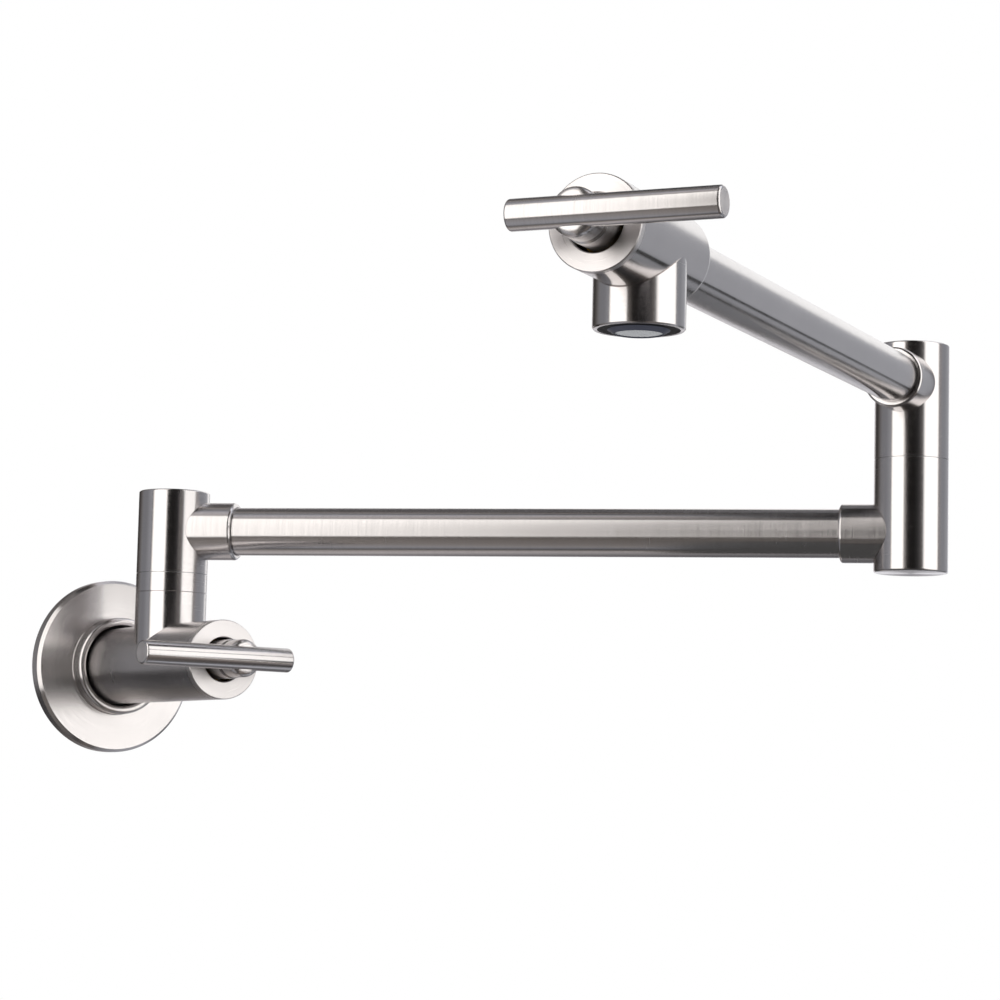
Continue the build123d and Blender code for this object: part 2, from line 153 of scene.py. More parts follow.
def turn(tree, centre, axis):
    """Way round an axis at each point, then the point's height along the axis and its distance from
    it as one vector, then that distance alone."""
    place = add(tree, "ShaderNodeTexCoord").outputs["Object"]
    offset = add(tree, "ShaderNodeVectorMath", {"operation": "SUBTRACT", 0: place, 1: centre * MM})
    spin = add(tree, "ShaderNodeVectorMath", {"operation": "CROSS_PRODUCT", 0: axis, 1: offset})
    height = add(tree, "ShaderNodeVectorMath", {"operation": "DOT_PRODUCT", 0: axis, 1: offset})
    radius = add(tree, "ShaderNodeVectorMath", {"operation": "LENGTH", 0: spin})
    distance = radius.outputs["Value"]
    rings = add(tree, "ShaderNodeCombineXYZ", {"X": height.outputs["Value"], "Y": distance})
    return spin, rings, distance


def turned_metal(name, centre, axis, look, branch=None):
    """Metal whose piece turned while it was brushed or faced: fine streaks run round the axis, so
    reflections stay sharp round it and are drawn out along it and along the radius.
    branch gives the centre and axis of a second round piece that grows from the first, and the
    first one's diameter."""
    made, tree = new_material(name)
    spin, rings, radius = turn(tree, centre, axis)
    if branch:
        branch_centre, branch_axis, trunk_d = branch
        branch_spin, branch_rings, _ = turn(tree, branch_centre, branch_axis)
        on_trunk = add(tree, "ShaderNodeMath", {
            "operation": "COMPARE", 0: radius, 1: trunk_d / 2 * MM, 2: trunk_skin * MM})
        spin = add(tree, "ShaderNodeMix", {
            "data_type": "VECTOR", 0: on_trunk, 4: branch_spin, 5: spin}).outputs[1]
        rings = add(tree, "ShaderNodeMix", {
            "data_type": "VECTOR", 0: on_trunk, 4: branch_rings, 5: rings}).outputs[1]
    place = add(tree, "ShaderNodeTexCoord").outputs["Object"]
    # real streaks are near 0.05 mm wide; they are drawn wider so that they show
    packed = add(tree, "ShaderNodeVectorMath", {
        "operation": "SCALE", 0: rings, "Scale": 1 / (look["streak"] * MM)})
    broken = add(tree, "ShaderNodeVectorMath", {
        "operation": "SCALE", 0: place, "Scale": 1 / (look["run"] * MM)})
    lay = add(tree, "ShaderNodeVectorMath", {"operation": "ADD", 0: packed, 1: broken})
    streaks = add(tree, "ShaderNodeTexNoise", {"Scale": 1, "Detail": 3, "Roughness": 0.6, "Vector": lay})
    patches = add(tree, "ShaderNodeTexNoise", {
        "Scale": 1 / (patch_size * MM), "Detail": 2, "Vector": place})
    tone = add(tree, "ShaderNodeMix", {
        "data_type": "RGBA", 0: patches, 6: linear(look["dull"]), 7: linear(look["bright"])})
    # the noise stays between 0.3 and 0.7 nearly everywhere
    rough = add(tree, "ShaderNodeMapRange", {
        "From Min": 0.3, "From Max": 0.7, "To Min": look["rough"] - streak_swing,
        "To Max": look["rough"] + streak_swing, "Value": streaks})
    rough = add(tree, "ShaderNodeMath", {
        "operation": "MULTIPLY_ADD", 0: patches, 1: patch_swing, 2: rough})
    bump = add(tree, "ShaderNodeBump", {"Strength": 1, "Distance": look["depth"] * MM, "Height": streaks})
    world_spin = add(tree, "ShaderNodeVectorTransform", {
        "vector_type": "VECTOR", "convert_from": "OBJECT", "convert_to": "WORLD", 0: spin})
    normal = add(tree, "ShaderNodeNewGeometry").outputs["Normal"]
    drawn_out = add(tree, "ShaderNodeVectorMath", {
        "operation": "CROSS_PRODUCT", 0: world_spin, 1: normal})
    metal = add(tree, "ShaderNodeBsdfPrincipled", {
        "Metallic": 1, "Anisotropic": look["pull"], "Base Color": tone.outputs[2], "Roughness": rough,
        "Normal": bump, "Tangent": drawn_out})
    add(tree, "ShaderNodeOutputMaterial", {"Surface": metal})
    return made


# Each look holds the tones of its bright and dull patches, its roughness, its pull, which is how far
# light is drawn out across the streaks, and the streaks' width, length before they break, and depth
# in mm.

# brushed nickel plate: a satin belt gives a warm grey with long soft reflections
satin = {"bright": "#D8D4D3", "dull": "#CFCBCA", "rough": 0.2, "pull": 0.9,
         "streak": 0.35, "run": 14, "depth": 0.001}
# nickel plate brushed with a worn belt: the same grey, but the reflections have firmer edges
fine_satin = {**satin, "rough": 0.13}
# lathe faced nickel plate: a coarser cut, so it spreads the light more and looks paler
faced = {"bright": "#DAD6D5", "dull": "#D2CECD", "rough": 0.28, "pull": 0.8,
         "streak": 0.3, "run": 20, "depth": 0.002}
# sawn and tumbled nickel plate: the bar ends have no clear cut, so they look pale and even
sawn = {"bright": "#DAD6D5", "dull": "#D2CECD", "rough": 0.46, "pull": 0.2,
        "streak": 0.3, "run": 4, "depth": 0.002}
# machined brass: bright yellow with tool marks
machined_brass = {"bright": "#CFAE6A", "dull": "#BE9A55", "rough": 0.3, "pull": 0.6,
                  "streak": 0.25, "run": 20, "depth": 0.002}
# stainless steel screws and clips: plain grey, fine marks from tumbling
stainless = {"bright": "#B9B8B8", "dull": "#A9A8A8", "rough": 0.32, "pull": 0.5,
             "streak": 0.3, "run": 4, "depth": 0.001}


# ---------------------------------------------------------------- rubber, plastics and ceramic
skin_swing = 0.08  # roughness that the grain adds and takes away


def moulded(name, bright, dull, rough, grain, depth, specular=0.5):
    """Moulded or ground piece: an even skin with a fine grain and a faint change of tone. The grain's
    width and depth are in mm."""
    made, tree = new_material(name)
    place = add(tree, "ShaderNodeTexCoord").outputs["Object"]
    skin = add(tree, "ShaderNodeTexNoise", {"Scale": 1 / (grain * MM), "Detail": 3, "Vector": place})
    # the tone changes over about 8 mm
    clouds = add(tree, "ShaderNodeTexNoise", {"Scale": 120, "Detail": 2, "Vector": place})
    tone = add(tree, "ShaderNodeMix", {
        "data_type": "RGBA", 0: clouds, 6: linear(dull), 7: linear(bright)})
    sheen = add(tree, "ShaderNodeMapRange", {
        "To Min": rough - skin_swing, "To Max": rough + skin_swing, "Value": skin})
    bump = add(tree, "ShaderNodeBump", {"Strength": 1, "Distance": depth * MM, "Height": skin})
    body = add(tree, "ShaderNodeBsdfPrincipled", {
        "Specular IOR Level": specular, "Base Color": tone.outputs[2], "Roughness": sheen,
        "Normal": bump})
    add(tree, "ShaderNodeOutputMaterial", {"Surface": body})
    return made


# moulded EPDM rubber: deep black, no gloss, a grain of about 0.3 mm from the mould
epdm_rubber = moulded("moulded_epdm_rubber", "#202021", "#161617", rough=0.62, grain=0.3, depth=0.01)
# turned acetal: milky white with a waxy half gloss
acetal = moulded("turned_acetal", "#EAE8E2", "#E0DED8", rough=0.38, grain=0.2, depth=0.003)
# lapped alumina: hard, nearly white and glossy, so that the discs seal
alumina = moulded("lapped_alumina", "#F0EEE8", "#E8E5DE", rough=0.16, grain=0.1, depth=0.0005)
# moulded black acetal, the aerator's housing: deep black with little gloss, darkened further as painted
# shade of its recess
black_acetal_and_painted_shade = moulded("moulded_black_acetal", "#09090B", "#060608", rough=0.5, grain=0.25, depth=0.004,
                       specular=0.08)
# moulded acetal: the ring that holds the screen; its dark blue grey is a painted dark reflection of what
# its wall faces
slate_acetal_painted_reflection = moulded("moulded_slate_acetal", "#4A4D5C", "#3F424F", rough=0.45, grain=0.25, depth=0.004,
                       specular=0.3)
# moulded natural polyethylene: the aerator's screen, greyish white, waxy and slightly clouded
natural_polyethylene = moulded("moulded_natural_polyethylene", "#D6D8DA", "#C2C5C9", rough=0.45,
                               grain=0.4, depth=0.006)


# ---------------------------------------------------------------- finish of each solid
def paint(names, finish):
    """Give the named solids one finish."""
    for name in names:
        nodes[name].data.materials[0] = finish


lower_axis = lower_post + lower_arm_height * upright
upper_axis = elbow + upper_arm_height * upright
brushed_flange = turned_metal("brushed_nickel_flange", Vector(), out_of_wall, satin)
brushed_body = turned_metal("brushed_nickel_body", Vector(), out_of_wall, satin,
                            branch=(lower_post, upright, body_d))
brushed_lower_post = turned_metal("brushed_nickel_lower_post", lower_post, upright, satin)
brushed_elbow = turned_metal("brushed_nickel_elbow", elbow, upright, satin)
brushed_outlet = turned_metal("brushed_nickel_outlet", outlet, upright, satin)
brushed_lower_arm = turned_metal("brushed_nickel_lower_arm", lower_axis, along_lower, satin)
brushed_upper_arm = turned_metal("brushed_nickel_upper_arm", upper_axis, along_upper, fine_satin)
paint(["wall_flange"], brushed_flange)
paint(["valve_body", "inlet_collar"], brushed_body)
paint(["riser_lock_ring", "lower_sleeve", "lower_top_cap"], brushed_lower_post)
paint(["elbow_lower_post", "elbow_bottom_cap", "elbow_sleeve", "elbow_top_cap"], brushed_elbow)
paint(["spout_outlet"], brushed_outlet)
paint(["lower_arm_inner_socket", "lower_arm_tube", "lower_arm_outer_socket"], brushed_lower_arm)
paint(["upper_arm_socket", "upper_arm_tube", "spout_head"], brushed_upper_arm)
paint(["wall_handle_hub"], turned_metal("brushed_nickel_wall_hub", wall_face, out_of_wall, satin))
paint(["spout_handle_hub"], turned_metal("brushed_nickel_spout_hub", spout_face, along_upper, satin))
paint(["wall_cover_ring"], turned_metal("faced_nickel_wall_cover", wall_face, out_of_wall, faced))
paint(["spout_cover_ring"], turned_metal("faced_nickel_spout_cover", spout_face, along_upper, faced))

wall_brass = turned_metal("machined_brass_wall", wall_face, out_of_wall, machined_brass)
spout_brass = turned_metal("machined_brass_spout", spout_face, along_upper, machined_brass)
paint(["wall_cartridge_body", "wall_stem", "inlet_nipple"], wall_brass)
paint(["spout_cartridge_body", "spout_stem"], spout_brass)
for node, centre in (("lower_spindle", lower_post), ("elbow_spindle", elbow)):
    paint([node], turned_metal("machined_brass_" + node, centre, upright, machined_brass))
wall_steel = turned_metal("stainless_steel_wall", wall_face, out_of_wall, stainless)
spout_steel = turned_metal("stainless_steel_spout", spout_face, along_upper, stainless)
lower_steel = turned_metal("stainless_steel_lower_post", lower_post, upright, stainless)
elbow_steel = turned_metal("stainless_steel_elbow", elbow, upright, stainless)
paint(["wall_bar_screw", "wall_grub_screw"], wall_steel)
paint(["spout_bar_screw", "spout_grub_screw"], spout_steel)
paint(["lower_retaining_clip", "lower_thrust_washer"], lower_steel)
paint(["elbow_retaining_clip", "elbow_thrust_washer"], elbow_steel)
paint(["wall_gasket", "body_seal", "lower_spindle_o_rings", "elbow_spindle_o_rings", "wall_seat_seal",
       "spout_seat_seal", "wall_stem_seals", "spout_stem_seals", "aerator_washer"], epdm_rubber)
paint(["lower_bushes", "elbow_bushes"], acetal)
paint(["wall_fixed_disc", "wall_moving_disc", "spout_fixed_disc", "spout_moving_disc"], alumina)
paint(["aerator_housing"], black_acetal_and_painted_shade)
paint(["aerator_insert"], natural_polyethylene)


# ---------------------------------------------------------------- pieces grown by geometry trees
def new_tree(name, sizes):
    """Geometry tree with a named input for each size, its inputs' sockets and its output socket."""
    tree = bpy.data.node_groups.new(name, "GeometryNodeTree")
    for label, kind in sizes.items():
        tree.interface.new_socket(label, in_out="INPUT", socket_type="NodeSocket" + kind)
    tree.interface.new_socket("Geometry", in_out="OUTPUT", socket_type="NodeSocketGeometry")
    given = tree.nodes.new("NodeGroupInput").outputs
    return tree, given, tree.nodes.new("NodeGroupOutput").inputs["Geometry"]


def grow(name, tree, sizes, body, node):
    """Piece grown by a geometry tree at these sizes, kept as a plain mesh, that stands for a solid."""
    piece = bpy.data.objects.new(name, bpy.data.meshes.new(name))
    bpy.context.scene.collection.objects.link(piece)
    growth = piece.modifiers.new("growth", "NODES")
    growth.node_group = tree
    for socket in tree.interface.items_tree:
        if socket.in_out == "INPUT":
            growth[socket.identifier] = sizes[socket.name]
    grown = piece.evaluated_get(bpy.context.evaluated_depsgraph_get())
    mesh = bpy.data.meshes.new_from_object(grown)
    # slots that the tree left without a material go
    for index in reversed(range(len(mesh.materials))):
        if not mesh.materials[index]:
            mesh.materials.pop(index=index)
    piece.modifiers.remove(growth)
    piece.data = mesh
    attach(piece, body)
    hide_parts(node)


def tube_tree():
    """Round tube with a wall: a long flat section is carried once round the tube's axis."""
    tree, given, result = new_tree("walled_tube", {
        "Middle": "Vector", "Direction": "Vector", "Length": "Float", "Radius": "Float", "Wall": "Float",
        "Sides": "Int", "Finish": "Material"})
    half_wall = add(tree, "ShaderNodeMath", {"operation": "MULTIPLY", 0: given["Wall"], 1: 0.5})
    middle_radius = add(tree, "ShaderNodeMath", {
        "operation": "SUBTRACT", 0: given["Radius"], 1: half_wall})
    hoop = add(tree, "GeometryNodeCurvePrimitiveCircle", {
        "Resolution": given["Sides"], "Radius": middle_radius})
    section = add(tree, "GeometryNodeCurvePrimitiveQuadrilateral", {
        "Width": given["Wall"], "Height": given["Length"]})
    wall = add(tree, "GeometryNodeCurveToMesh", {"Curve": hoop, "Profile Curve": section})
    # edges that bend by more than half a radian stay crisp
    bend = add(tree, "GeometryNodeInputMeshEdgeAngle")
    rim = add(tree, "FunctionNodeCompare", {
        "operation": "GREATER_THAN", "A": bend.outputs["Unsigned Angle"], "B": 0.5})
    crisp = add(tree, "GeometryNodeSetShadeSmooth", {
        "domain": "EDGE", "Shade Smooth": False, "Geometry": wall, "Selection": rim})
    turned = add(tree, "FunctionNodeAlignRotationToVector", {"axis": "Z", "Vector": given["Direction"]})
    placed = add(tree, "GeometryNodeTransform", {
        "Geometry": crisp, "Translation": given["Middle"], "Rotation": turned})
    real = add(tree, "GeometryNodeRealizeInstances", {"Geometry": placed})
    done = add(tree, "GeometryNodeSetMaterial", {"Geometry": real, "Material": given["Finish"]})
    tree.links.new(done.outputs["Geometry"], result)
    return tree


def bar_tree():
    """Round bar with rounded ends: rings stand closer and shrink along a quarter circle at each end.
    The flat ends get their own finish."""
    tree, given, result = new_tree("round_bar", {
        "Middle": "Vector", "Direction": "Vector", "Length": "Float", "Radius": "Float", "Edge": "Float",
        "Edge rings": "Int", "Sides": "Int", "Finish": "Material", "End finish": "Material"})
    count = add(tree, "ShaderNodeMath", {"operation": "MULTIPLY_ADD", 0: given["Edge rings"], 1: 2, 2: 2})
    last = add(tree, "ShaderNodeMath", {"operation": "MULTIPLY_ADD", 0: given["Edge rings"], 1: 2, 2: 1})
    line = add(tree, "GeometryNodeCurvePrimitiveLine")
    rings = add(tree, "GeometryNodeResampleCurve", {"Curve": line, "Count": count})

    # each ring knows how far it is from the nearer end, as a share of the quarter circle
    index = add(tree, "GeometryNodeInputIndex").outputs["Index"]
    from_last = add(tree, "ShaderNodeMath", {"operation": "SUBTRACT", 0: last, 1: index})
    from_end = add(tree, "ShaderNodeMath", {"operation": "MINIMUM", 0: index, 1: from_last})
    share = add(tree, "ShaderNodeMath", {"operation": "DIVIDE", 0: from_end, 1: given["Edge rings"]})
    angle = add(tree, "ShaderNodeMath", {"operation": "MULTIPLY", 0: share, 1: pi / 2})
    rise = add(tree, "ShaderNodeMath", {"operation": "SINE", 0: angle})
    fall = add(tree, "ShaderNodeMath", {"operation": "COSINE", 0: angle})
    thinner = add(tree, "ShaderNodeMath", {"operation": "SUBTRACT", 0: 1, 1: rise})
    further = add(tree, "ShaderNodeMath", {"operation": "SUBTRACT", 0: 1, 1: fall})
    loss = add(tree, "ShaderNodeMath", {"operation": "MULTIPLY", 0: thinner, 1: given["Edge"]})
    radius = add(tree, "ShaderNodeMath", {"operation": "SUBTRACT", 0: given["Radius"], 1: loss})
    inset = add(tree, "ShaderNodeMath", {"operation": "MULTIPLY", 0: further, 1: given["Edge"]})

    # rings of the first half go to the near end, the others to the far end
    half = add(tree, "ShaderNodeMath", {"operation": "MULTIPLY", 0: given["Length"], 1: 0.5})
    reach = add(tree, "ShaderNodeMath", {"operation": "SUBTRACT", 0: half, 1: inset})
    far_side = add(tree, "ShaderNodeMath", {
        "operation": "GREATER_THAN", 0: index, 1: given["Edge rings"]})
    side = add(tree, "ShaderNodeMath", {"operation": "MULTIPLY_ADD", 0: far_side, 1: 2, 2: -1})
    station = add(tree, "ShaderNodeMath", {"operation": "MULTIPLY", 0: side, 1: reach})
    spine_place = add(tree, "ShaderNodeVectorMath", {
        "operation": "SCALE", 0: given["Direction"], "Scale": station})
    spine_place = add(tree, "ShaderNodeVectorMath", {
        "operation": "ADD", 0: given["Middle"], 1: spine_place})
    spine = add(tree, "GeometryNodeSetPosition", {"Geometry": rings, "Position": spine_place})
    circle = add(tree, "GeometryNodeCurvePrimitiveCircle", {"Radius": 1, "Resolution": given["Sides"]})
    skin = add(tree, "GeometryNodeCurveToMesh", {
        "Fill Caps": True, "Curve": spine, "Profile Curve": circle, "Scale": radius})

    # faces that look along the bar are its flat ends
    normal = add(tree, "GeometryNodeInputNormal").outputs["Normal"]
    facing = add(tree, "ShaderNodeVectorMath", {
        "operation": "DOT_PRODUCT", 0: normal, 1: given["Direction"]})
    facing = add(tree, "ShaderNodeMath", {"operation": "ABSOLUTE", 0: facing.outputs["Value"]})
    flat_end = add(tree, "FunctionNodeCompare", {"operation": "GREATER_THAN", "A": facing, "B": 0.999})
    real = add(tree, "GeometryNodeRealizeInstances", {"Geometry": skin})
    flat = add(tree, "GeometryNodeSetShadeSmooth", {
        "Shade Smooth": False, "Geometry": real, "Selection": flat_end})
    brushed = add(tree, "GeometryNodeSetMaterial", {"Geometry": flat, "Material": given["Finish"]})
    ends = add(tree, "GeometryNodeSetMaterial", {
        "Geometry": brushed, "Selection": flat_end, "Material": given["End finish"]})
    tree.links.new(ends.outputs["Geometry"], result)
    return tree


tube = tube_tree()
arm_tubes = (
    ("lower_arm_tube", "lower_arm", lower_axis, along_lower,
     lower_arm_reach - tube_start, brushed_lower_arm),
    ("upper_arm_tube", "upper_arm", upper_axis, along_upper,
     upper_arm_reach + head_front_over_outlet - head_length + tube_in_head, brushed_upper_arm),
)
for node, body, start, direction, end, finish in arm_tubes:
    grow("brushed_" + node, tube, {
        "Middle": (start + (tube_start + end) / 2 * direction) * MM, "Direction": direction,
        "Length": (end - tube_start) * MM, "Radius": tube_d / 2 * MM, "Wall": tube_wall * MM,
        "Sides": tube_sides, "Finish": finish}, body, node)

bar = bar_tree()
handle_bars = (
    ("wall", wall_face, out_of_wall, Vector((1, 0, 0)), -1),
    ("spout", spout_face, along_upper, across_spout, 1),
)
for place, face, forward, across, long_side in handle_bars:
    middle = face + bar_distance * forward + long_side * bar_offset * across
    grow(place + "_cross_bar", bar, {
        "Middle": middle * MM, "Direction": across, "Length": bar_length * MM, "Radius": bar_d / 2 * MM,
        "Edge": bar_edge * MM, "Edge rings": bar_edge_rings, "Sides": bar_sides,
        "Finish": turned_metal(f"brushed_nickel_{place}_bar", middle, across, satin),
        "End finish": turned_metal(f"sawn_nickel_{place}_bar_ends", middle, across, sawn)},
        place + "_handle", place + "_handle_bar")


def thread_tree():
    """Threaded pipe: a sheet is rolled round the pipe's axis. Its rows run along the outside, where the
    radius follows a screw, and come back through the bore."""
    tree, given, result = new_tree("threaded_pipe", {
        "Back": "Float", "Front": "Float", "Radius": "Float", "Bore": "Float", "Pitch": "Float",
        "Depth": "Float", "Lead": "Float", "Relief start": "Float", "Relief end": "Float",
        "Relief radius": "Float", "Rows": "Int", "Sides": "Int", "Finish": "Material"})
    sheet_rows = add(tree, "ShaderNodeMath", {"operation": "ADD", 0: given["Rows"], 1: 4})
    sheet_width = add(tree, "ShaderNodeMath", {"operation": "ADD", 0: given["Rows"], 1: 3})
    sheet_sides = add(tree, "ShaderNodeMath", {"operation": "ADD", 0: given["Sides"], 1: 1})
    sheet = add(tree, "GeometryNodeMeshGrid", {
        "Size X": sheet_width, "Size Y": given["Sides"], "Vertices X": sheet_rows,
        "Vertices Y": sheet_sides})
    place = add(tree, "GeometryNodeInputPosition").outputs["Position"]
    parts = add(tree, "ShaderNodeSeparateXYZ", {0: place})
    half_width = add(tree, "ShaderNodeMath", {"operation": "MULTIPLY", 0: sheet_width, 1: 0.5})
    row = add(tree, "ShaderNodeMath", {"operation": "ADD", 0: parts.outputs["X"], 1: half_width})
    across = add(tree, "ShaderNodeMath", {
        "operation": "DIVIDE", 0: parts.outputs["Y"], 1: given["Sides"]})
    angle = add(tree, "ShaderNodeMath", {"operation": "MULTIPLY", 0: across, 1: tau})

    # the first rows share out the outside; the bore's two rows follow, and the last row closes the sheet
    turning_row = add(tree, "ShaderNodeMath", {"operation": "ADD", 0: given["Rows"], 1: 1.5})
    in_bore = add(tree, "ShaderNodeMath", {"operation": "COMPARE", 0: row, 1: turning_row, 2: 0.8})
    before_turn = add(tree, "ShaderNodeMath", {"operation": "LESS_THAN", 0: row, 1: turning_row})
    share = add(tree, "ShaderNodeMath", {
        "operation": "DIVIDE", "use_clamp": True, 0: row, 1: given["Rows"]})
    share = add(tree, "ShaderNodeMath", {"operation": "MULTIPLY", 0: share, 1: before_turn})
    length = add(tree, "ShaderNodeMath", {"operation": "SUBTRACT", 0: given["Front"], 1: given["Back"]})
    from_back = add(tree, "ShaderNodeMath", {"operation": "MULTIPLY", 0: share, 1: length})
    along = add(tree, "ShaderNodeMath", {"operation": "ADD", 0: from_back, 1: given["Back"]})

    # the groove's depth follows the turns that the screw has made: a zigzag, stretched by 2.6 and cut
    # off at 1, so that the root is flat and eased into the flanks
    pitches = add(tree, "ShaderNodeMath", {"operation": "DIVIDE", 0: along, 1: given["Pitch"]})
    turns = add(tree, "ShaderNodeMath", {"operation": "SUBTRACT", 0: pitches, 1: across})
    ridge = add(tree, "ShaderNodeMath", {"operation": "PINGPONG", 0: turns, 1: 0.5})
    flank = add(tree, "ShaderNodeMath", {"operation": "MULTIPLY", 0: ridge, 1: 2.6})
    groove = add(tree, "ShaderNodeMath", {"operation": "SMOOTH_MIN", 0: flank, 1: 1, 2: 0.2})
    cut = add(tree, "ShaderNodeMath", {"operation": "MULTIPLY", 0: groove, 1: given["Depth"]})
    screw = add(tree, "ShaderNodeMath", {"operation": "SUBTRACT", 0: given["Radius"], 1: cut})

    # the relief is a plain groove, and the lead is a cone at the back end
    past_start = add(tree, "ShaderNodeMath", {
        "operation": "GREATER_THAN", 0: along, 1: given["Relief start"]})
    before_end = add(tree, "ShaderNodeMath", {"operation": "LESS_THAN", 0: along, 1: given["Relief end"]})
    in_relief = add(tree, "ShaderNodeMath", {"operation": "MULTIPLY", 0: past_start, 1: before_end})
    proud = add(tree, "ShaderNodeMath", {"operation": "SUBTRACT", 0: screw, 1: given["Relief radius"]})
    proud = add(tree, "ShaderNodeMath", {"operation": "MAXIMUM", 0: proud, 1: 0})
    relief_cut = add(tree, "ShaderNodeMath", {"operation": "MULTIPLY", 0: proud, 1: in_relief})
    screw = add(tree, "ShaderNodeMath", {"operation": "SUBTRACT", 0: screw, 1: relief_cut})
    end_radius = add(tree, "ShaderNodeMath", {
        "operation": "SUBTRACT", 0: given["Radius"], 1: given["Lead"]})
    cone = add(tree, "ShaderNodeMath", {"operation": "ADD", 0: from_back, 1: end_radius})
    screw = add(tree, "ShaderNodeMath", {"operation": "MINIMUM", 0: screw, 1: cone})
    to_bore = add(tree, "ShaderNodeMath", {"operation": "SUBTRACT", 0: given["Bore"], 1: screw})
    radius = add(tree, "ShaderNodeMath", {"operation": "MULTIPLY_ADD", 0: to_bore, 1: in_bore, 2: screw})

    cosine = add(tree, "ShaderNodeMath", {"operation": "COSINE", 0: angle})
    sine = add(tree, "ShaderNodeMath", {"operation": "SINE", 0: angle})
    x = add(tree, "ShaderNodeMath", {"operation": "MULTIPLY", 0: radius, 1: cosine})
    y = add(tree, "ShaderNodeMath", {"operation": "MULTIPLY", 0: along, 1: -1})
    z = add(tree, "ShaderNodeMath", {"operation": "MULTIPLY", 0: radius, 1: sine})
    rolled = add(tree, "ShaderNodeCombineXYZ", {"X": x, "Y": y, "Z": z})
    pipe = add(tree, "GeometryNodeSetPosition", {"Geometry": sheet, "Position": rolled})
    closed = add(tree, "GeometryNodeMergeByDistance", {"Distance": 0.001 * MM, "Geometry": pipe})
    outward = add(tree, "GeometryNodeFlipFaces", {"Mesh": closed})
    smooth = add(tree, "GeometryNodeSetShadeSmooth", {"Geometry": outward})
    bend = add(tree, "GeometryNodeInputMeshEdgeAngle")
    sharp = add(tree, "FunctionNodeCompare", {
        "operation": "GREATER_THAN", "A": bend.outputs["Unsigned Angle"], "B": 0.6})
    crisp = add(tree, "GeometryNodeSetShadeSmooth", {
        "domain": "EDGE", "Shade Smooth": False, "Geometry": smooth, "Selection": sharp})
    real = add(tree, "GeometryNodeRealizeInstances", {"Geometry": crisp})
    done = add(tree, "GeometryNodeSetMaterial", {"Geometry": real, "Material": given["Finish"]})
    tree.links.new(done.outputs["Geometry"], result)
    return tree


grow("threaded_inlet", thread_tree(), {
    "Back": -inlet_behind_wall * MM, "Front": inlet_in_body * MM, "Radius": inlet_thread_d / 2 * MM,
    "Bore": inlet_bore_d / 2 * MM, "Pitch": thread_pitch * MM, "Depth": thread_depth * MM,
    "Lead": inlet_lead * MM, "Relief start": body_wall_gap * MM,
    "Relief end": (body_wall_gap + inlet_relief_width) * MM, "Relief radius": inlet_relief_d / 2 * MM,
    "Rows": thread_rows, "Sides": thread_sides, "Finish": wall_brass},
    "wall_body", "inlet_nipple")


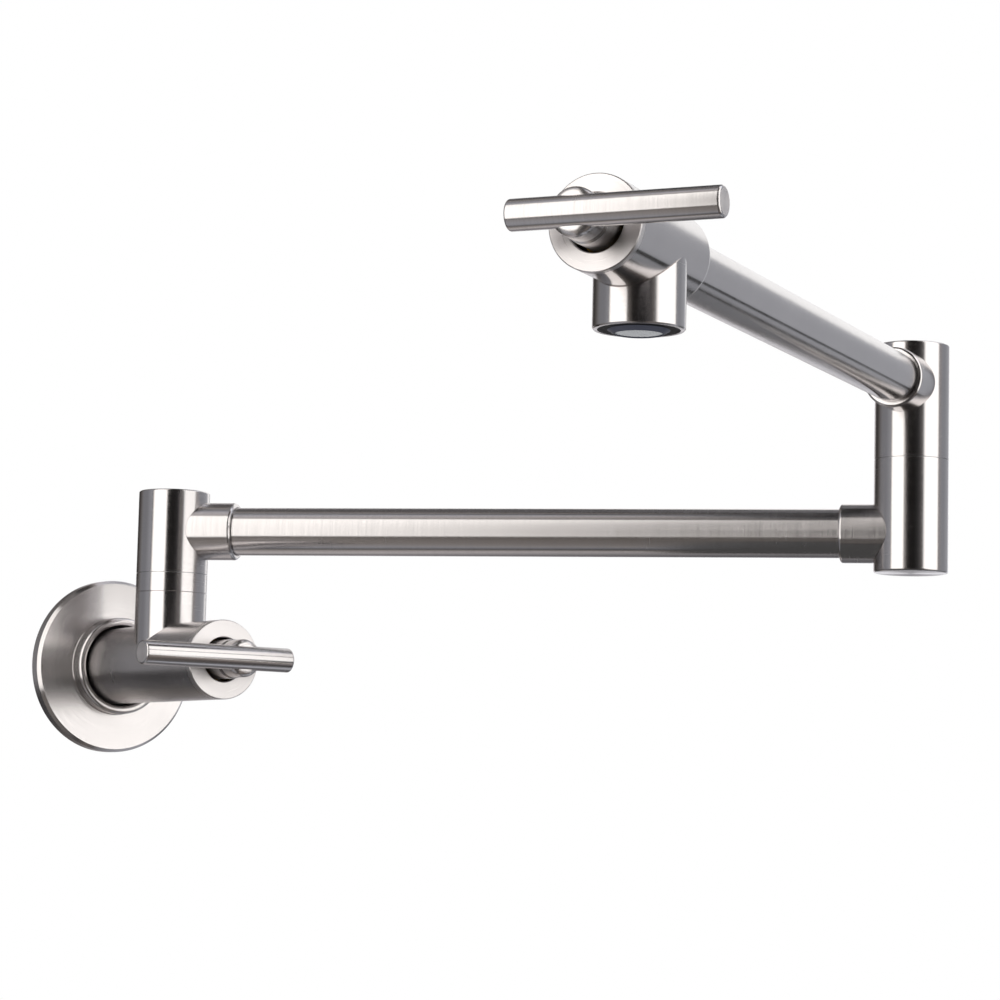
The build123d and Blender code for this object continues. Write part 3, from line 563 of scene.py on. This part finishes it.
def screen_tree():
    """Aerator screen: round ribs cross in a ring. Each rib is as long as the ring allows at its place,
    and all bulge down by a rule."""
    tree, given, result = new_tree("ribbed_screen", {
        "Place": "Vector", "Radius": "Float", "Rim": "Float", "Height": "Float", "Drop": "Float",
        "Pitch": "Float", "Rib": "Float", "Half count": "Int", "Finish": "Material",
        "Ring finish": "Material"})
    count = add(tree, "ShaderNodeMath", {"operation": "MULTIPLY_ADD", 0: given["Half count"], 1: 2, 2: 1})
    half_span = add(tree, "ShaderNodeMath", {
        "operation": "MULTIPLY", 0: given["Half count"], 1: given["Pitch"]})
    first = add(tree, "ShaderNodeMath", {"operation": "MULTIPLY", 0: half_span, 1: -1})
    first_place = add(tree, "ShaderNodeCombineXYZ", {"X": first})
    step = add(tree, "ShaderNodeCombineXYZ", {"X": given["Pitch"]})
    stations = add(tree, "GeometryNodeMeshLine", {
        "Count": count, "Start Location": first_place, "Offset": step})

    # half of each rib's length is the other side of a triangle in the ring's circle
    place = add(tree, "GeometryNodeInputPosition").outputs["Position"]
    across = add(tree, "ShaderNodeVectorMath", {"operation": "LENGTH", 0: place})
    across = add(tree, "ShaderNodeMath", {
        "operation": "DIVIDE", 0: across.outputs["Value"], 1: given["Radius"]})
    slope = add(tree, "ShaderNodeMath", {"operation": "ARCCOSINE", 0: across})
    slope = add(tree, "ShaderNodeMath", {"operation": "SINE", 0: slope})
    half_rib = add(tree, "ShaderNodeMath", {"operation": "MULTIPLY", 0: slope, 1: given["Radius"]})
    stretch = add(tree, "ShaderNodeCombineXYZ", {"X": 1, "Y": half_rib, "Z": 1})
    line = add(tree, "GeometryNodeCurvePrimitiveLine", {"Start": (0, -1, 0), "End": (0, 1, 0)})
    ribs = add(tree, "GeometryNodeInstanceOnPoints", {
        "Points": stations, "Instance": line, "Scale": stretch})
    ribs = add(tree, "GeometryNodeRealizeInstances", {"Geometry": ribs})
    crossing = add(tree, "GeometryNodeTransform", {"Rotation": (0, 0, pi / 2), "Geometry": ribs})
    both = add(tree, "GeometryNodeJoinGeometry", {"Geometry": ribs})
    tree.links.new(crossing.outputs["Geometry"], both.inputs["Geometry"])
    fine = add(tree, "GeometryNodeResampleCurve", {"Count": screen_rib_stations, "Curve": both})

    # a rib's underside is level with the ring's lip in the middle, and 0.35 of the drop higher at the rim
    square = add(tree, "ShaderNodeMath", {"operation": "MULTIPLY", 0: across, 1: across})
    height = add(tree, "ShaderNodeMath", {"operation": "MULTIPLY_ADD", 0: square, 1: 0.35, 2: -1})
    height = add(tree, "ShaderNodeMath", {"operation": "MULTIPLY", 0: height, 1: given["Drop"]})
    rib_radius = add(tree, "ShaderNodeMath", {"operation": "MULTIPLY", 0: given["Rib"], 1: 0.5})
    height = add(tree, "ShaderNodeMath", {"operation": "ADD", 0: height, 1: rib_radius})
    lower = add(tree, "ShaderNodeCombineXYZ", {"Z": height})
    bowed = add(tree, "GeometryNodeSetPosition", {"Geometry": fine, "Offset": lower})
    section = add(tree, "GeometryNodeCurvePrimitiveCircle", {
        "Resolution": screen_rib_sides, "Radius": rib_radius})
    wires = add(tree, "GeometryNodeCurveToMesh", {
        "Fill Caps": True, "Curve": bowed, "Profile Curve": section})
    rib_faces = add(tree, "GeometryNodeStoreNamedAttribute", {
        "data_type": "BOOLEAN", "domain": "FACE", "Name": "rib", "Value": True, "Geometry": wires})

    # the ring's section is carried round with its second axis pointing down
    hoop = add(tree, "GeometryNodeCurvePrimitiveCircle", {
        "Resolution": screen_sides, "Radius": given["Radius"]})
    width = add(tree, "ShaderNodeMath", {"operation": "SUBTRACT", 0: given["Rim"], 1: given["Radius"]})
    rise = add(tree, "ShaderNodeMath", {"operation": "MULTIPLY", 0: given["Height"], 1: -1})
    corners = (
        add(tree, "ShaderNodeCombineXYZ", {"Y": rise}),
        add(tree, "ShaderNodeCombineXYZ", {"X": width, "Y": rise}),
        add(tree, "ShaderNodeCombineXYZ", {"X": width}),
        add(tree, "ShaderNodeCombineXYZ", {"Y": given["Drop"]}),
    )
    profile = add(tree, "GeometryNodeCurvePrimitiveQuadrilateral", {
        "mode": "POINTS", **{f"Point {i}": corner for i, corner in enumerate(corners, 1)}})
    ring = add(tree, "GeometryNodeCurveToMesh", {"Curve": hoop, "Profile Curve": profile})
    bend = add(tree, "GeometryNodeInputMeshEdgeAngle")
    sharp = add(tree, "FunctionNodeCompare", {
        "operation": "GREATER_THAN", "A": bend.outputs["Unsigned Angle"], "B": 0.4})
    ring = add(tree, "GeometryNodeSetShadeSmooth", {
        "domain": "EDGE", "Shade Smooth": False, "Geometry": ring, "Selection": sharp})
    whole = add(tree, "GeometryNodeJoinGeometry", {"Geometry": ring})
    tree.links.new(rib_faces.outputs["Geometry"], whole.inputs["Geometry"])
    placed = add(tree, "GeometryNodeTransform", {"Geometry": whole, "Translation": given["Place"]})
    real = add(tree, "GeometryNodeRealizeInstances", {"Geometry": placed})
    ring_done = add(tree, "GeometryNodeSetMaterial", {"Geometry": real, "Material": given["Ring finish"]})
    is_rib = add(tree, "GeometryNodeInputNamedAttribute", {"data_type": "BOOLEAN", "Name": "rib"})
    done = add(tree, "GeometryNodeSetMaterial", {
        "Geometry": ring_done, "Selection": is_rib.outputs["Attribute"], "Material": given["Finish"]})
    tree.links.new(done.outputs["Geometry"], result)
    return tree


grow("aerator_screen", screen_tree(), {
    "Place": (outlet + (upper_arm_height - outlet_drop) * upright) * MM,
    "Radius": aerator_nose_d / 2 * MM, "Rim": aerator_opening_d / 2 * MM,
    "Height": aerator_insert_thickness * MM, "Drop": aerator_nose_drop * MM, "Pitch": screen_pitch * MM,
    "Rib": screen_rib * MM, "Half count": screen_ribs_each_side,
    "Finish": natural_polyethylene, "Ring finish": slate_acetal_painted_reflection},
    "upper_arm", "aerator_insert")


# ---------------------------------------------------------------- studio
def stage_mesh(name, build, finish, seen_by):
    """Piece of the studio, seen only by the named kinds of ray."""
    mesh = bpy.data.meshes.new(name)
    shape = bmesh.new()
    build(shape)
    shape.to_mesh(mesh)
    shape.free()
    prop = bpy.data.objects.new(name, mesh)
    bpy.context.scene.collection.objects.link(prop)
    mesh.materials.append(finish)
    for ray in ("camera", "diffuse", "glossy", "transmission", "shadow"):
        setattr(prop, "visible_" + ray, ray in seen_by)
    return prop


def card(name, centre, across, upward, size, colour, strength, fades):
    """Flat glowing card, placed in metres. size is its width and height, and fades are the widths over
    which its light fades out at the left, right, bottom and top edges."""
    made, tree = new_material(name)
    place = add(tree, "ShaderNodeTexCoord").outputs["Object"]
    parts = add(tree, "ShaderNodeSeparateXYZ", {0: place})
    glow = None
    for axis, half, pair in (("X", size[0] / 2, fades[:2]), ("Y", size[1] / 2, fades[2:])):
        for edge, fade in zip((-half, half), pair):
            inward = -fade if edge > 0 else fade
            rise = add(tree, "ShaderNodeMapRange", {
                "interpolation_type": "SMOOTHSTEP", "From Min": edge, "From Max": edge + inward,
                "To Min": 0, "To Max": 1, "Value": parts.outputs[axis]})
            if glow:
                rise = add(tree, "ShaderNodeMath", {"operation": "MULTIPLY", 0: glow, 1: rise})
            glow = rise
    glow = add(tree, "ShaderNodeMath", {"operation": "MULTIPLY", 0: glow, 1: strength})
    lamp = add(tree, "ShaderNodeEmission", {"Color": linear(colour), "Strength": glow})
    add(tree, "ShaderNodeOutputMaterial", {"Surface": lamp})
    flat = stage_mesh(name, lambda shape: bmesh.ops.create_grid(
        shape, size=0.5, matrix=Matrix.Diagonal((*size, 1, 1))), made, ("glossy",))
    turned = Matrix((across, upward, across.cross(upward))).transposed().to_4x4()
    flat.matrix_world = Matrix.Translation(centre) @ turned


def softbox(name, left, right, bottom, top, lean, colour, strength, fades):
    """Large softbox that passes through two points on plan at the height of the origin, reaches below
    and above it, and leans over the object by an angle."""
    left, right = Vector((*left, 0)), Vector((*right, 0))
    across = (right - left).normalized()
    upward = (Matrix.Rotation(radians(-lean), 3, across) @ upright).normalized()
    card(name, (left + right) / 2 + (bottom + top) / 2 * upward, across, upward,
         ((right - left).length, top - bottom), colour, strength, fades)


# places and sizes of the studio, in metres
studio_middle = Vector((0.1, -0.16, 0.06))
floor_height = -0.6
lamp_height = 1.6
tent_radius = 4
floor_size = 7
upper_tube_middle = (upper_axis + 0.5 * upper_arm_reach * along_upper) * MM
sharp_edges = (0.01,) * 4  # fades of a card whose edges show as lines

# tones of the studio seen in reflections, as (compass degrees from +Y towards +X, grey)
nadir_tones = ((0, 0.05), (180, 0.05))
floor_tones = ((0, 0.35), (19, 0.7), (30, 0.35), (38, 0.12), (60, 0.2), (78, 0.65), (95, 0.65),
               (107, 0.1), (140, 0.1), (165, 0.25), (192, 0.05), (222, 0.06), (232, 0.13), (241, 0.12),
               (248, 0.28), (272, 0.4), (290, 0.45), (312, 0.45), (335, 0.15))
low_tones = ((0, 0.03), (20, 0.1), (30, 0.3), (40, 0.12), (62, 0.25), (85, 0.3), (107, 0.45),
             (135, 0.45), (165, 0.35), (190, 0.04), (222, 0.03), (240, 0.18), (290, 0.28), (306, 0.15),
             (335, 0.04))
wall_tones = ((0, 0.04), (14, 0.1), (24, 0.95), (66, 0.95), (75, 0.45), (90, 0.42), (104, 0.34),
              (135, 0.36), (178, 0.18), (190, 0.09), (201, 0.03), (212, 0.012), (232, 0.012), (240, 0.15),
              (290, 0.42), (308, 0.28), (330, 0.27), (346, 0.12))
ceiling_tones = ((0, 0.15), (12, 0.12), (37, 0.09), (52, 0.4), (70, 0.4), (88, 0.5), (102, 1.5),
                 (134, 1.5), (155, 0.1), (200, 0.015), (242, 0.02), (254, 0.5), (270, 0.8), (286, 0.8),
                 (304, 0.35), (330, 0.25), (345, 0.4))
zenith_tones = ((0, 0.02), (180, 0.02))
# pairs of elevations, in degrees, between which each band of tones turns into the one above it
band_borders = ((-82, -76), (-40, -30), (-19, -9), (26, 40), (79, 82))
# its tints: warm where the flange, the body and the arms' undersides look, cool towards both sides
tints = ((0, "#FFF6F0"), (30, "#FFFBFF"), (60, "#F4F7FF"), (115, "#F1F5FF"), (140, "#FFEFE6"),
         (172, "#FFEFE6"), (200, "#FFFBFF"), (235, "#FFF4EC"), (260, "#FFF4EC"), (285, "#F4F6FF"),
         (325, "#F4F6FF"), (350, "#FFF6F0"))


def tent():
    """Grey lantern round the object that only reflections see: its tone changes with the direction."""
    made, tree = new_material("grey_studio_tent")
    place = add(tree, "ShaderNodeTexCoord").outputs["Object"]
    ray = add(tree, "ShaderNodeVectorMath", {"operation": "NORMALIZE", 0: place})
    parts = add(tree, "ShaderNodeSeparateXYZ", {0: ray})
    compass = add(tree, "ShaderNodeMath", {
        "operation": "ARCTAN2", 0: parts.outputs["X"], 1: parts.outputs["Y"]})
    compass = add(tree, "ShaderNodeMath", {"operation": "DIVIDE", 0: compass, 1: tau})
    compass = add(tree, "ShaderNodeMath", {"operation": "FRACT", 0: compass})
    ramps = []
    for stops in (nadir_tones, floor_tones, low_tones, wall_tones, ceiling_tones, zenith_tones, tints):
        ramp = add(tree, "ShaderNodeValToRGB", {"Fac": compass})
        points = ramp.color_ramp.elements
        colours = [linear(tone) if isinstance(tone, str) else (tone, tone, tone, 1) for _, tone in stops]
        points[0].color = points[1].color = colours[0]
        for (degrees, _), colour in zip(stops[1:], colours[1:]):
            points.new(degrees / 360).color = colour
        ramps.append(ramp.outputs["Color"])
    tone, *higher_tones, tint = ramps
    for higher, (low_limit, high_limit) in zip(higher_tones, band_borders):
        share = add(tree, "ShaderNodeMapRange", {
            "interpolation_type": "SMOOTHSTEP", "From Min": sin(radians(low_limit)),
            "From Max": sin(radians(high_limit)), "Value": parts.outputs["Z"]})
        blend = add(tree, "ShaderNodeMix", {"data_type": "RGBA", 0: share, 6: tone, 7: higher})
        tone = blend.outputs[2]
    tinted = add(tree, "ShaderNodeMix", {
        "data_type": "RGBA", "blend_type": "MULTIPLY", 0: 1, 6: tone, 7: tint})
    glow = add(tree, "ShaderNodeEmission", {"Strength": 1, "Color": tinted.outputs[2]})
    add(tree, "ShaderNodeOutputMaterial", {"Surface": glow})
    lantern = stage_mesh("studio_tent", lambda shape: bmesh.ops.create_uvsphere(
        shape, u_segments=48, v_segments=24, radius=tent_radius), made, ("glossy",))
    lantern.location = studio_middle


def shelf_edge(name, angle):
    """Thin dark card parallel to the upper tube and beyond its end, which shows as a dark line along
    it. The angle goes round the tube from straight above."""
    direction = -along_upper
    out = (Matrix.Rotation(radians(angle), 3, direction) @ upright).normalized()
    card(name, upper_tube_middle + 0.6 * out + 1.2 * direction, direction, direction.cross(out),
         size=(1.8, 0.1), colour="#303030", strength=1, fades=sharp_edges)


tent()
softbox("left_softbox", left=(-1.39, 0.3), right=(-0.965, -0.83), bottom=-0.6, top=1.75, lean=6,
        colour="#FFFDFA", strength=1.95, fades=(0.25, 0.1, 0.16, 0.2))
softbox("right_softbox", left=(0.0, -1.87), right=(0.88, -0.86), bottom=-0.6, top=1.75, lean=6,
        colour="#FFFEFC", strength=1.8, fades=(0.32, 0.06, 0.16, 0.2))

# a white panel far along the upper tube, cut off along a line that runs to the tube's end, shows as the
# bright upper side of that tube
panel_angle = 33
panel_across = Matrix.Rotation(radians(panel_angle), 3, -along_upper) @ upright
panel_up = Matrix.Rotation(radians(panel_angle - 90), 3, -along_upper) @ upright
card("upper_panel", upper_tube_middle - 1.5 * along_upper + 0.55 * panel_across + 0.65 * panel_up,
     panel_across, panel_up, size=(1.7, 1.3), colour="#FFFFFF", strength=1.2, fades=(0.2, 0.3, 0.03, 0.3))
shelf_edge("first_shelf_edge", 132)
shelf_edge("second_shelf_edge", 161)

# dark cards above and below the lower arm's far third show as the dark bands along it
far_third = lower_axis * MM + 0.23 * along_lower
beside_lower = upright.cross(along_lower)
card("flag_above_lower_arm", far_third + 0.3 * upright - 0.045 * beside_lower, along_lower, beside_lower,
     size=(0.14, 0.25), colour="#202020", strength=1, fades=sharp_edges)
card("flag_below_lower_arm", far_third + 0.045 * along_lower - 0.1 * upright - 0.03 * beside_lower,
     along_lower, beside_lower, size=(0.19, 0.15), colour="#505050", strength=1, fades=sharp_edges)


def floor_paint():
    """Matt floor paint: even and pale, so it takes the object's shadow. Further out, where the camera
    sees it, it turns into the white of the sky."""
    made, tree = new_material("matt_floor_paint")
    place = add(tree, "ShaderNodeTexCoord").outputs["Object"]
    mottle = add(tree, "ShaderNodeTexNoise", {"Scale": 3, "Detail": 2, "Vector": place})
    tone = add(tree, "ShaderNodeMix", {
        "data_type": "RGBA", 0: mottle, 6: linear("#F4F4F4"), 7: linear("#F7F7F7")})
    coat = add(tree, "ShaderNodeBsdfDiffuse", {"Color": tone.outputs[2]})
    distance = add(tree, "ShaderNodeVectorMath", {"operation": "LENGTH", 0: place})
    far = add(tree, "ShaderNodeMapRange", {
        "interpolation_type": "SMOOTHSTEP", "From Min": 0.5, "From Max": 2.2,
        "Value": distance.outputs["Value"]})
    rays = add(tree, "ShaderNodeLightPath").outputs
    share = add(tree, "ShaderNodeMath", {"operation": "MULTIPLY", 0: far, 1: rays["Is Camera Ray"]})
    white = add(tree, "ShaderNodeEmission", {"Strength": 1})
    mix = add(tree, "ShaderNodeMixShader", {0: share, 1: coat, 2: white})
    add(tree, "ShaderNodeOutputMaterial", {"Surface": mix})
    return made


floor = stage_mesh("floor", lambda shape: bmesh.ops.create_grid(shape, size=floor_size / 2),
                   floor_paint(), ("camera", "diffuse", "transmission", "shadow"))
floor.location = (studio_middle.x, studio_middle.y, floor_height)

# a soft lamp overhead, 1.2 m square, gives the rubber, the plastics and the floor their light and shadow
overhead = bpy.data.lights.new("overhead_lamp", "AREA")
overhead.size = 1.2
overhead.energy = 11
lamp = bpy.data.objects.new("overhead_lamp", overhead)
lamp.location = (studio_middle.x, studio_middle.y, lamp_height)
lamp.visible_glossy = False
bpy.context.scene.collection.objects.link(lamp)

# the sky is plain white where it is seen and a softer fill where it lights
studio = bpy.data.worlds.new("studio")
studio.use_nodes = True
sky = studio.node_tree
sky.nodes.clear()
rays = add(sky, "ShaderNodeLightPath").outputs
seen = add(sky, "ShaderNodeMath", {
    "operation": "MAXIMUM", 0: rays["Is Camera Ray"], 1: rays["Is Glossy Ray"]})
seen = add(sky, "ShaderNodeMath", {"operation": "MAXIMUM", 0: seen, 1: rays["Is Transmission Ray"]})
brightness = add(sky, "ShaderNodeMapRange", {"To Min": 0.65, "To Max": 1, "Value": seen})
white = add(sky, "ShaderNodeBackground", {"Color": (1, 1, 1, 1), "Strength": brightness})
add(sky, "ShaderNodeOutputWorld", {"Surface": white})
bpy.context.scene.world = studio

# ---------------------------------------------------------------- camera
# the photograph's viewing angle, with the focal length in mm on a sensor 36 mm wide
sensor_width = 36
focal_length = 108
camera_place = Vector((-0.57888, -1.09154, -0.06195))
yaw, pitch, roll = radians(35.28), radians(6.25), radians(1.36)
ahead = Vector((sin(yaw) * cos(pitch), cos(yaw) * cos(pitch), sin(pitch)))
flat_right = Vector((cos(yaw), -sin(yaw), 0))
flat_up = flat_right.cross(ahead)
right = cos(roll) * flat_right + sin(roll) * flat_up
up = cos(roll) * flat_up - sin(roll) * flat_right
lens = bpy.data.cameras.new("camera")
lens.sensor_width = sensor_width
lens.lens = focal_length
lens.clip_start = 0.05
lens.clip_end = 50
camera = bpy.data.objects.new("camera", lens)
camera.matrix_world = Matrix.Translation(camera_place) @ Matrix((right, up, -ahead)).transposed().to_4x4()
bpy.context.scene.collection.objects.link(camera)
bpy.context.scene.camera = camera
bpy.context.scene.view_settings.view_transform = "Standard"
